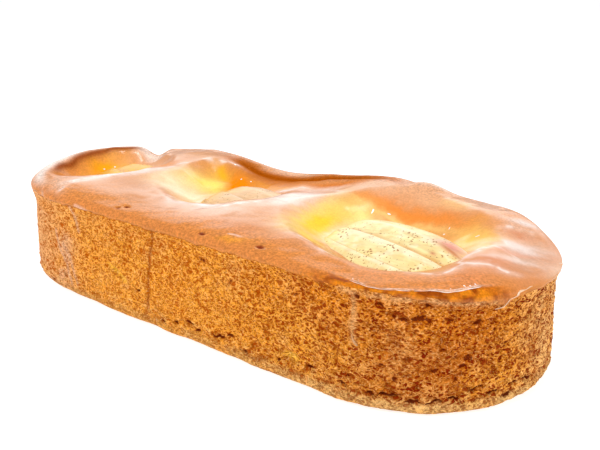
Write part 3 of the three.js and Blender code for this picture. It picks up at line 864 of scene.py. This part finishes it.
def run_grid(points):
    """One run: an ellipse carried along a path on the skin, half sunk in it, as wide as the path says
    and closed at both ends, where the width falls off as the root of the distance from the end."""
    way, up, half = np.array(points, float).T
    length = np.concatenate([[0], np.cumsum(np.hypot(np.diff(way), np.diff(up)))])
    at = np.linspace(0, length[-1], RUN_STEPS)
    way, up, half = (np.interp(at, length, values) for values in (way, up, half))
    way = way + 0.25 * noise(at, 0, 4, 81)
    up = up + 0.2 * noise(at, 0, 3, 82)
    end = np.minimum(at, length[-1] - at)
    half = half * np.sqrt(np.clip(end / RUN_END, 0, 1)) * (1 + 0.25 * noise(at, 0, 2.5, 83))
    step = np.hypot(np.gradient(way), np.gradient(up))
    side_way, side_up = -np.gradient(up) / step, np.gradient(way) / step
    angle = np.linspace(0, 2 * np.pi, RUN_COLUMNS, endpoint=False)[None]
    across = half[:, None] * np.cos(angle)
    lift = RUN_LIFT + np.minimum(half, RUN_THICK)[:, None] * np.sin(angle)
    return on_skin(way[:, None] + side_way[:, None] * across, up[:, None] + side_up[:, None] * across, lift)


# Set sugar syrup: hard and glassy, a little milky, so it takes the colour under it and sharp lights
CLOUD = 1.5
syrup_finish, tree, shader, place, tint = new_finish(
    "set_sugar_syrup", Roughness=0.3, IOR=1.42, Coat_Weight=1.0, Coat_Roughness=0.06
)
cloud = add(tree, "TexNoise", Vector=place, Scale=1 / (CLOUD * MM), Detail=3.0)
milk = add(tree, "MapRange", Value=cloud, From_Min=0.35, From_Max=0.7, To_Min=0.8, To_Max=1.15)
clouded = add(tree, "VectorMath", scaled, _0=tint, Scale=milk)
bump = add(tree, "Bump", Height=cloud, Strength=0.3, Distance=0.2 * MM)
connect(tree, shader, Base_Color=clouded, Normal=bump)

runs = np.concatenate([run_grid(points) for colour, points in RUNS])
run_tint = np.repeat([linear(colour) for colour, points in RUNS], RUN_STEPS, 0)[:, None]
glaze_runs = closed_skin("glaze_runs", runs, run_tint)
glaze_runs.data.materials.append(syrup_finish)
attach(glaze_runs, "root")


# Apple pieces: peeled quarters cut lengthwise into fans of slices, pressed round side up into the
# batter. They are baked soft and pale, dusted with cinnamon, and glazed with the rest of the top.

APPLE_SLICES = 6
SLICE_STEP = 1.1
LENGTH_ROWS = 120
SLICE_COLUMNS = 32
UNDER_COLUMNS = 40


def apple_grid(at_x, at_y, at_z, length, dip, lean):
    """One apple piece: an ellipse along the core, whose girth is a power of the sine, with a squared
    half ellipse across the top and another across the underside. Across the top the slices step down
    towards the front one after another. Turned about X, Y and Z in that order, then moved."""
    pole = np.linspace(0, np.pi, LENGTH_ROWS)[:, None]
    top = np.linspace(0, 1, APPLE_SLICES * SLICE_COLUMNS, endpoint=False)[None]
    below = np.linspace(0, 1, UNDER_COLUMNS, endpoint=False)[None]
    angle = np.concatenate([np.pi * (top - 0.5), np.pi * (below + 0.5)], 1)
    share = np.concatenate([top * APPLE_SLICES % 1, 0 * below + 1], 1)
    height = np.where(np.arange(angle.size)[None] < top.size, APPLE_RISE, APPLE_SINK)
    girth = np.sqrt(1 - np.cos(pole) ** 2) ** np.where(pole < np.pi / 2, TAPERED_END, BLUNT_END)
    sin, cos = np.sin(angle), np.cos(angle)
    groove = (1 - share) * np.maximum(cos, 0)
    side = np.sign(sin) * np.abs(sin) ** APPLE_SQUARENESS
    up = height * np.sign(cos) * np.abs(cos) ** APPLE_SQUARENESS - SLICE_STEP * groove
    endways = length / 2 * np.cos(pole) + 0 * angle
    local = np.stack([endways, APPLE_WIDTH / 2 * girth * side, up * girth], -1)
    (ca, sa), (cb, sb), (cc, sc) = (
        (np.cos(radians(turn)), np.sin(radians(turn))) for turn in (lean, dip, APPLE_TURN)
    )
    about_x = np.array([[1, 0, 0], [0, ca, -sa], [0, sa, ca]])
    about_y = np.array([[cb, 0, sb], [0, 1, 0], [-sb, 0, cb]])
    about_z = np.array([[cc, -sc, 0], [sc, cc, 0], [0, 0, 1]])
    return local @ (about_z @ about_y @ about_x).T + np.array([at_x, at_y, at_z]), local, share


# Baked apple flesh: soft and moist, so pale cream that glows a little, with a clear glaze over it
SPECK = 1.5
JITTER = 0.9
JITTER_REACH = 1.2
CLUSTER = 9.0
FIBRE = 1.2
flesh_finish, tree, shader, place, tint = new_finish(
    "glazed_apple_flesh", Roughness=0.45, IOR=1.4, Coat_Weight=0.35, Coat_Roughness=0.15
)
jitter = add(tree, "TexNoise", output="Color", Vector=place, Scale=1 / (JITTER * MM), Detail=1.0)
shaken = add(tree, "VectorMath", times_plus, _0=jitter, _1=(JITTER_REACH * MM,) * 3, _2=place)
speck = add(tree, "TexVoronoi", Vector=shaken, Scale=1 / (SPECK * MM))
cluster = add(tree, "TexNoise", Vector=place, Scale=1 / (CLUSTER * MM))
dust = add(tree, "MapRange", Value=cluster, From_Min=0.42, From_Max=0.66, To_Min=0.1, To_Max=0.34)
spice = add(tree, "Math", {"operation": "LESS_THAN"}, _0=speck, _1=dust)
long_way = add(tree, "Mapping", Vector=place, Scale=(0.2, 0.9, 1.0))
fibre = add(tree, "TexNoise", Vector=long_way, Scale=1 / (FIBRE * MM), Detail=3.0)
shade = add(tree, "MapRange", Value=fibre, From_Min=0.3, From_Max=0.7, To_Min=0.88, To_Max=1.06)
veined = add(tree, "VectorMath", scaled, _0=tint, Scale=shade)
dusted = add(tree, "Mix", colours, 2, _0=spice, _6=veined, _7="#b27c42")
bump = add(tree, "Bump", Height=fibre, Strength=0.4, Distance=0.4 * MM)
connect(tree, shader, Base_Color=dusted, Normal=bump)

# Flesh colours: at the blunt end, at the tapered end, in the cuts and as painted shade in the grooves,
# along the sides, and cream blotches that also give the painted highlight on the slices' edges
FLESH = {
    "apple_near": ("#f5e4a4", "#f0cc80", "#d08c24", "#f8e290", "#fff4d2"),
    "apple_middle": ("#e8bc88", "#e4ae78", "#d09a5c", "#f0b44c", "#ecc49a"),
    "apple_far": ("#f2b010", "#f0b01c", "#c8862a", "#f2a80c", "#f4bc3c"),
}
for name, (at_x, at_y, at_z, length, dip, lean) in APPLES.items():
    grid, local, share = apple_grid(at_x, at_y, at_z, length, dip, lean)
    blunt, tapered, cut, side, cream_and_edge_highlight = FLESH[name]
    endways, across, up = np.moveaxis(local, -1, 0)
    half = length / 2
    end_film = ease(-endways, half - 14, half - 2)
    streak = noise(endways * 0.35, across, 2.2, 85)
    blotch = noise(endways, across, 3.2, 86) + 0.5 * noise(endways, across, 1.3, 87)
    open_side = up > 0
    flesh = paint(
        blunt,
        (tapered, ease(endways, 2, half)),
        (cut, 0.22 * ease(streak, 0.1, 0.8)),
        (cream_and_edge_highlight, 0.5 * ease(blotch, 0.1, 0.8)),
        (tapered, 0.5 * ease(-blotch, 0.1, 0.8)),
        # Painted shade in the groove where each slice steps down
        (cut, (0.75 + 0.3 * streak) * bell(share / 0.09)),
        # Painted highlight along the raised edge of each slice
        (cream_and_edge_highlight, 0.5 * bell((share - 0.9) / 0.12) * (share < 1) + 0 * across),
        (side, 0.9 * np.maximum(end_film, ease(np.abs(across), 14, 21))),
        ("#d87e66", 0.95 * spot(endways, across, 16, 13.5, 9, 4, -10) * open_side),
        ("#cc7430", 0.95 * spot(endways, across, 20, 9.6, 8, 1.1, -12) * open_side),
        ("#cc6a34", 0.8 * spot(endways, across, 16, 4.0, 1.5, 0.9, -12) * open_side),
    )
    piece = closed_skin(name + "_flesh", grid, flesh)
    piece.data.materials.append(flesh_finish)
    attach(piece, "root")
    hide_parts(name)


# Stage: a sweep of white paper under soft light from the front, the right, behind and above, and the
# camera, where the photograph was taken from.

FLOOR_REACH = 40.0
floor_mesh = bpy.data.meshes.new("floor")
corners = [(FLOOR_REACH * x, FLOOR_REACH * y, 0) for x, y in ((-1, -1), (1, -1), (1, 1), (-1, 1))]
floor_mesh.from_pydata(corners, [], [(0, 1, 2, 3)])
floor = bpy.data.objects.new("floor", floor_mesh)
scene.collection.objects.link(floor)
# White paper: matt and bright, so the ground is lost in white round the cake and its shadow stays pale
paper = bpy.data.materials.new("white_paper_sweep")
paper.use_nodes = True
connect(
    paper.node_tree,
    paper.node_tree.nodes["Principled BSDF"],
    Base_Color=(0.5, 0.5, 0.5, 1),
    Roughness=0.9,
    Specular_IOR_Level=0.0,
    Emission_Color=(1, 1, 1, 1),
    Emission_Strength=0.75,
)
floor_mesh.materials.append(paper)

world = bpy.data.worlds.new("studio")
world.use_nodes = True
connect(world.node_tree, world.node_tree.nodes["Background"], Color=(1, 1, 1, 1), Strength=0.5)
scene.world = world

# Lights: name, place in metres, width, height and power. All are turned towards one point in the cake
LIGHT_AIM = (0.0, 0.0, 0.03)
LIGHTS = [
    ("key_softbox", (-0.35, -1.1, 1.0), 0.7, 0.7, 10.4),
    ("rim_softbox", (1.2, 0.2, 0.6), 0.6, 0.6, 6.0),
    ("back_panel", (-0.55, 1.2, 0.55), 2.0, 0.5, 5.0),
    ("top_lamp", (0.0, 0.15, 1.25), 0.22, 0.22, 4.0),
]
for name, stand, width, height, power in LIGHTS:
    lamp = bpy.data.lights.new(name, "AREA")
    lamp.shape = "RECTANGLE"
    lamp.size = width
    lamp.size_y = height
    lamp.energy = power
    light = bpy.data.objects.new(name, lamp)
    light.location = stand
    aim = np.array(LIGHT_AIM) - np.array(stand)
    light.rotation_euler = (np.arctan2(np.hypot(aim[0], aim[1]), -aim[2]), 0, np.arctan2(-aim[0], aim[1]))
    scene.collection.objects.link(light)

# Camera: the point it looks at and its distance in mm, two angles in degrees, lens and sensor in mm
AIM = (10.14, 13.1, 34.65)
DISTANCE = 375.46
AZIMUTH = 38.84
ELEVATION = 18.13
LENS = 49.87
SENSOR = 36
lens = bpy.data.cameras.new("camera")
lens.sensor_width = SENSOR
lens.lens = LENS
lens.clip_end = 100
camera = bpy.data.objects.new("camera", lens)
a, e = radians(AZIMUTH), radians(ELEVATION)
backward = np.array([np.sin(a) * np.cos(e), -np.cos(a) * np.cos(e), np.sin(e)])
camera.location = (np.array(AIM) + DISTANCE * backward) * MM
camera.rotation_euler = (np.pi / 2 - e, 0, a)
scene.collection.objects.link(camera)
scene.camera = camera
scene.view_settings.view_transform = "Standard"
